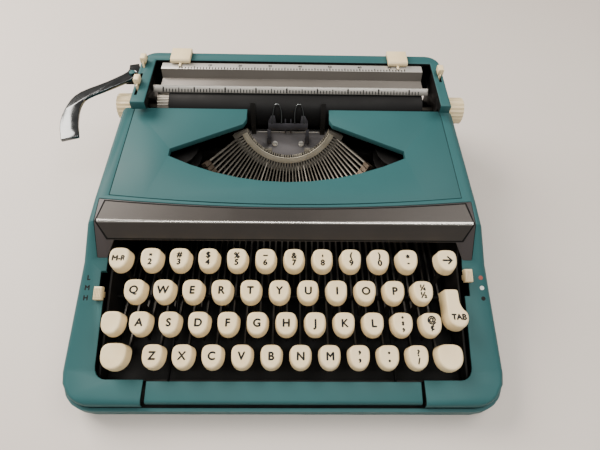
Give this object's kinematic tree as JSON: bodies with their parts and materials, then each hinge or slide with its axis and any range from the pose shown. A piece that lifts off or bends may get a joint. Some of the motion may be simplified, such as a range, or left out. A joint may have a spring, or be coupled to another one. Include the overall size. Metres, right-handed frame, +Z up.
{
  "type": "portable typewriter",
  "caption": "Portable manual typewriter with a teal shell, cream keys, an open type basket and a sliding carriage with a chrome return lever",
  "frame": {"origin": "centre of the flat underside of the base pan, 5 mm above the feet", "axes": "+Z up, -Y towards the typist, +X to the typist's right"},
  "size_m": [0.3245, 0.2804, 0.0922],
  "materials": {
    "teal_enamel": "satin",
    "black_steel": "satin",
    "cream_plastic": "gloss",
    "grey_trim": "satin",
    "bright_chrome": "polished",
    "dull_steel": "brushed",
    "black_rubber": "matte"
  },
  "bodies": {
    "root": {"housing": "teal_enamel", "base_pan": "teal_enamel", "chassis_frame": "black_steel", "nameplate_panel": "grey_trim", "segment": "dull_steel", "carriage_rail": "dull_steel"},
    "cover": {"ribbon_cover": "teal_enamel"},
    "guide": {"ribbon_guide": "dull_steel"},
    "left_spool": {"ribbon_spool_left": "dull_steel"},
    "right_spool": {"ribbon_spool_right": "dull_steel"},
    "drum": {"mainspring_drum": "dull_steel"},
    "touch": {"touch_selector": "cream_plastic"},
    "color": {"color_selector": "cream_plastic"},
    "carriage": {"carriage_frame": "dull_steel", "carriage_shroud": "teal_enamel", "paper_table": "grey_trim"},
    "platen": {"platen_roller": "black_rubber", "platen_knob_left": "cream_plastic", "platen_knob_right": "cream_plastic"},
    "bail": {"paper_bail": "bright_chrome"},
    "left_stop": {"margin_stop_left": "cream_plastic"},
    "right_stop": {"margin_stop_right": "cream_plastic"},
    "return_arm": {"return_lever": "bright_chrome"},
    "line_space": {"line_space_lever": "cream_plastic"},
    "carriage_release": {"carriage_release_lever": "cream_plastic"},
    "paper_release": {"paper_release_lever": "cream_plastic"},
    "space": {"space_bar": "teal_enamel"},
    "shift": {"shift_keys": "cream_plastic"},
    "tab": {"tab_key": "cream_plastic"},
    "backspace": {"backspace_key": "cream_plastic"},
    "margin_release": {"margin_release_key": "cream_plastic"},
    "figures": {"figure_keys": "cream_plastic"},
    "key_z": {"key_z": "cream_plastic"},
    "key_x": {"key_x": "cream_plastic"},
    "key_c": {"key_c": "cream_plastic"},
    "key_v": {"key_v": "cream_plastic"},
    "key_b": {"key_b": "cream_plastic"},
    "key_n": {"key_n": "cream_plastic"},
    "key_m": {"key_m": "cream_plastic"},
    "key_a": {"key_a": "cream_plastic"},
    "key_s": {"key_s": "cream_plastic"},
    "key_d": {"key_d": "cream_plastic"},
    "key_f": {"key_f": "cream_plastic"},
    "key_g": {"key_g": "cream_plastic"},
    "key_h": {"key_h": "cream_plastic"},
    "key_j": {"key_j": "cream_plastic"},
    "key_k": {"key_k": "cream_plastic"},
    "key_l": {"key_l": "cream_plastic"},
    "key_q": {"key_q": "cream_plastic"},
    "key_w": {"key_w": "cream_plastic"},
    "key_e": {"key_e": "cream_plastic"},
    "key_r": {"key_r": "cream_plastic"},
    "key_t": {"key_t": "cream_plastic"},
    "key_y": {"key_y": "cream_plastic"},
    "key_u": {"key_u": "cream_plastic"},
    "key_i": {"key_i": "cream_plastic"},
    "key_o": {"key_o": "cream_plastic"},
    "key_p": {"key_p": "cream_plastic"},
    "key_comma": {"key_comma": "cream_plastic"},
    "key_period": {"key_period": "cream_plastic"}
  },
  "joints": [
    {"name": "bail_lift", "type": "hinge", "parent": "carriage", "child": "bail", "pos_m": [0.0025, 0.118, 0.058], "axis": [-1, 0, 0], "range_deg": [0, 29]},
    {"name": "carriage_shift", "type": "slide", "parent": "root", "child": "carriage", "axis": [-1, 0, 0], "range_m": [-0.087, 0.095]},
    {"name": "cover_lift", "type": "hinge", "parent": "root", "child": "cover", "pos_m": [0, 0.083, 0.0654], "axis": [-1, 0, 0], "range_deg": [0, 29]},
    {"name": "guide_lift", "type": "slide", "parent": "root", "child": "guide", "axis": [0, 0.5, 0.866], "range_m": [0, 0.008]},
    {"name": "lever_return", "type": "hinge", "parent": "carriage", "child": "return_arm", "pos_m": [-0.132, 0.117, 0.0725], "axis": [0, 0, 1], "range_deg": [-5, 25], "stiffness_Nm_per_rad": 0.1},
    {"name": "line_space_set", "type": "hinge", "parent": "carriage", "child": "line_space", "pos_m": [0.0025, 0.0976, 0.056], "axis": [1, 0, 0], "range_deg": [-15, 15]},
    {"name": "margin_left_set", "type": "slide", "parent": "carriage", "child": "left_stop", "axis": [1, 0, 0], "range_m": [-0.01, 0.075]},
    {"name": "margin_right_set", "type": "slide", "parent": "carriage", "child": "right_stop", "axis": [1, 0, 0], "range_m": [-0.075, 0.01]},
    {"name": "paper_release_set", "type": "hinge", "parent": "carriage", "child": "paper_release", "pos_m": [0.0025, 0.118, 0.058], "axis": [1, 0, 0], "range_deg": [0, 12]},
    {"name": "carriage_release_press", "type": "hinge", "parent": "carriage", "child": "carriage_release", "pos_m": [0.0025, 0.118, 0.058], "axis": [-1, 0, 0], "range_deg": [0, 9], "stiffness_Nm_per_rad": 0.1, "springref_deg": -5.73},
    {"name": "platen_turn", "type": "hinge", "parent": "carriage", "child": "platen", "pos_m": [0.0025, 0.0976, 0.056], "axis": [1, 0, 0], "continuous": true},
    {"name": "spool_left_turn", "type": "hinge", "parent": "root", "child": "left_spool", "pos_m": [-0.096, 0.0565, 0.045], "axis": [0, 0, 1], "continuous": true},
    {"name": "spool_right_turn", "type": "hinge", "parent": "root", "child": "right_spool", "pos_m": [0.096, 0.0565, 0.045], "axis": [0, 0, 1], "continuous": true},
    {"name": "touch_set", "type": "slide", "parent": "root", "child": "touch", "axis": [0, 0.95, 0.3122], "range_m": [0, 0.0106]},
    {"name": "color_set", "type": "slide", "parent": "root", "child": "color", "axis": [0, 0.95, 0.3122], "range_m": [-0.0106, 0]},
    {"name": "drum_turn", "type": "hinge", "parent": "root", "child": "drum", "pos_m": [-0.095, 0.097, 0.024], "axis": [0, 0, 1], "range_deg": [-403.5, 369.5]},
    {"name": "space_press", "type": "hinge", "parent": "root", "child": "space", "pos_m": [0, -0.062, 0.0197], "axis": [1, 0, 0], "range_deg": [0, 5.21], "stiffness_Nm_per_rad": 0.3, "springref_deg": -5.73},
    {"name": "shift_press", "type": "hinge", "parent": "root", "child": "shift", "pos_m": [0, 0.11, 0.0056], "axis": [1, 0, 0], "range_deg": [0, 2.08], "stiffness_Nm_per_rad": 1, "springref_deg": -5.73},
    {"name": "tab_press", "type": "hinge", "parent": "root", "child": "tab", "pos_m": [0.1133, 0.115, 0.014], "axis": [1, 0, 0], "range_deg": [0, 2.33], "stiffness_Nm_per_rad": 0.5, "springref_deg": -5.73},
    {"name": "backspace_press", "type": "hinge", "parent": "root", "child": "backspace", "pos_m": [0.10835, 0.115, 0.014], "axis": [1, 0, 0], "range_deg": [0, 3.41], "stiffness_Nm_per_rad": 0.5, "springref_deg": -5.73},
    {"name": "margin_release_press", "type": "hinge", "parent": "root", "child": "margin_release", "pos_m": [-0.11035, 0.115, 0.014], "axis": [1, 0, 0], "range_deg": [0, 3.41], "stiffness_Nm_per_rad": 0.5, "springref_deg": -5.73},
    {"name": "figure_press", "type": "hinge", "parent": "root", "child": "figures", "pos_m": [0, 0.115, 0.014], "axis": [1, 0, 0], "range_deg": [0, 3.41], "stiffness_Nm_per_rad": 4, "springref_deg": -5.73},
    {"name": "type_z", "type": "hinge", "parent": "root", "child": "key_z", "pos_m": [-0.08482, 0.115, 0.014], "axis": [1, 0, 0], "range_deg": [0, 2.55], "stiffness_Nm_per_rad": 0.5, "springref_deg": -5.73},
    {"name": "type_x", "type": "hinge", "parent": "root", "child": "key_x", "pos_m": [-0.06577, 0.115, 0.014], "axis": [1, 0, 0], "range_deg": [0, 2.55], "stiffness_Nm_per_rad": 0.5, "springref_deg": -5.73},
    {"name": "type_c", "type": "hinge", "parent": "root", "child": "key_c", "pos_m": [-0.04672, 0.115, 0.014], "axis": [1, 0, 0], "range_deg": [0, 2.55], "stiffness_Nm_per_rad": 0.5, "springref_deg": -5.73},
    {"name": "type_v", "type": "hinge", "parent": "root", "child": "key_v", "pos_m": [-0.02767, 0.115, 0.014], "axis": [1, 0, 0], "range_deg": [0, 2.55], "stiffness_Nm_per_rad": 0.5, "springref_deg": -5.73},
    {"name": "type_b", "type": "hinge", "parent": "root", "child": "key_b", "pos_m": [-0.00862, 0.115, 0.014], "axis": [1, 0, 0], "range_deg": [0, 2.55], "stiffness_Nm_per_rad": 0.5, "springref_deg": -5.73},
    {"name": "type_n", "type": "hinge", "parent": "root", "child": "key_n", "pos_m": [0.01043, 0.115, 0.014], "axis": [1, 0, 0], "range_deg": [0, 2.55], "stiffness_Nm_per_rad": 0.5, "springref_deg": -5.73},
    {"name": "type_m", "type": "hinge", "parent": "root", "child": "key_m", "pos_m": [0.02948, 0.115, 0.014], "axis": [1, 0, 0], "range_deg": [0, 2.55], "stiffness_Nm_per_rad": 0.5, "springref_deg": -5.73},
    {"name": "type_a", "type": "hinge", "parent": "root", "child": "key_a", "pos_m": [-0.09434, 0.115, 0.014], "axis": [1, 0, 0], "range_deg": [0, 2.78], "stiffness_Nm_per_rad": 0.5, "springref_deg": -5.73},
    {"name": "type_s", "type": "hinge", "parent": "root", "child": "key_s", "pos_m": [-0.0753, 0.115, 0.014], "axis": [1, 0, 0], "range_deg": [0, 2.78], "stiffness_Nm_per_rad": 0.5, "springref_deg": -5.73},
    {"name": "type_d", "type": "hinge", "parent": "root", "child": "key_d", "pos_m": [-0.05625, 0.115, 0.014], "axis": [1, 0, 0], "range_deg": [0, 2.78], "stiffness_Nm_per_rad": 0.5, "springref_deg": -5.73},
    {"name": "type_f", "type": "hinge", "parent": "root", "child": "key_f", "pos_m": [-0.03719, 0.115, 0.014], "axis": [1, 0, 0], "range_deg": [0, 2.78], "stiffness_Nm_per_rad": 0.5, "springref_deg": -5.73},
    {"name": "type_g", "type": "hinge", "parent": "root", "child": "key_g", "pos_m": [-0.01815, 0.115, 0.014], "axis": [1, 0, 0], "range_deg": [0, 2.78], "stiffness_Nm_per_rad": 0.5, "springref_deg": -5.73},
    {"name": "type_h", "type": "hinge", "parent": "root", "child": "key_h", "pos_m": [0.0009, 0.115, 0.014], "axis": [1, 0, 0], "range_deg": [0, 2.78], "stiffness_Nm_per_rad": 0.5, "springref_deg": -5.73},
    {"name": "type_j", "type": "hinge", "parent": "root", "child": "key_j", "pos_m": [0.01996, 0.115, 0.014], "axis": [1, 0, 0], "range_deg": [0, 2.78], "stiffness_Nm_per_rad": 0.5, "springref_deg": -5.73},
    {"name": "type_k", "type": "hinge", "parent": "root", "child": "key_k", "pos_m": [0.039, 0.115, 0.014], "axis": [1, 0, 0], "range_deg": [0, 2.78], "stiffness_Nm_per_rad": 0.5, "springref_deg": -5.73},
    {"name": "type_l", "type": "hinge", "parent": "root", "child": "key_l", "pos_m": [0.05806, 0.115, 0.014], "axis": [1, 0, 0], "range_deg": [0, 2.78], "stiffness_Nm_per_rad": 0.5, "springref_deg": -5.73},
    {"name": "type_q", "type": "hinge", "parent": "root", "child": "key_q", "pos_m": [-0.09911, 0.115, 0.014], "axis": [1, 0, 0], "range_deg": [0, 3.07], "stiffness_Nm_per_rad": 0.5, "springref_deg": -5.73},
    {"name": "type_w", "type": "hinge", "parent": "root", "child": "key_w", "pos_m": [-0.08006, 0.115, 0.014], "axis": [1, 0, 0], "range_deg": [0, 3.07], "stiffness_Nm_per_rad": 0.5, "springref_deg": -5.73},
    {"name": "type_e", "type": "hinge", "parent": "root", "child": "key_e", "pos_m": [-0.06101, 0.115, 0.014], "axis": [1, 0, 0], "range_deg": [0, 3.07], "stiffness_Nm_per_rad": 0.5, "springref_deg": -5.73},
    {"name": "type_r", "type": "hinge", "parent": "root", "child": "key_r", "pos_m": [-0.04196, 0.115, 0.014], "axis": [1, 0, 0], "range_deg": [0, 3.07], "stiffness_Nm_per_rad": 0.5, "springref_deg": -5.73},
    {"name": "type_t", "type": "hinge", "parent": "root", "child": "key_t", "pos_m": [-0.02291, 0.115, 0.014], "axis": [1, 0, 0], "range_deg": [0, 3.07], "stiffness_Nm_per_rad": 0.5, "springref_deg": -5.73},
    {"name": "type_y", "type": "hinge", "parent": "root", "child": "key_y", "pos_m": [-0.00386, 0.115, 0.014], "axis": [1, 0, 0], "range_deg": [0, 3.07], "stiffness_Nm_per_rad": 0.5, "springref_deg": -5.73},
    {"name": "type_u", "type": "hinge", "parent": "root", "child": "key_u", "pos_m": [0.01519, 0.115, 0.014], "axis": [1, 0, 0], "range_deg": [0, 3.07], "stiffness_Nm_per_rad": 0.5, "springref_deg": -5.73},
    {"name": "type_i", "type": "hinge", "parent": "root", "child": "key_i", "pos_m": [0.03424, 0.115, 0.014], "axis": [1, 0, 0], "range_deg": [0, 3.07], "stiffness_Nm_per_rad": 0.5, "springref_deg": -5.73},
    {"name": "type_o", "type": "hinge", "parent": "root", "child": "key_o", "pos_m": [0.05329, 0.115, 0.014], "axis": [1, 0, 0], "range_deg": [0, 3.07], "stiffness_Nm_per_rad": 0.5, "springref_deg": -5.73},
    {"name": "type_p", "type": "hinge", "parent": "root", "child": "key_p", "pos_m": [0.07234, 0.115, 0.014], "axis": [1, 0, 0], "range_deg": [0, 3.07], "stiffness_Nm_per_rad": 0.5, "springref_deg": -5.73},
    {"name": "type_comma", "type": "hinge", "parent": "root", "child": "key_comma", "pos_m": [0.04853, 0.115, 0.014], "axis": [1, 0, 0], "range_deg": [0, 2.55], "stiffness_Nm_per_rad": 0.5, "springref_deg": -5.73},
    {"name": "type_period", "type": "hinge", "parent": "root", "child": "key_period", "pos_m": [0.06758, 0.115, 0.014], "axis": [1, 0, 0], "range_deg": [0, 2.55], "stiffness_Nm_per_rad": 0.5, "springref_deg": -5.73}
  ],
  "couplings": [
    {"joint": "drum_turn", "follows": "carriage_shift", "rad_per_m": -74.074},
    {"joint": "spool_right_turn", "follows": "spool_left_turn", "ratio": 1}
  ]
}
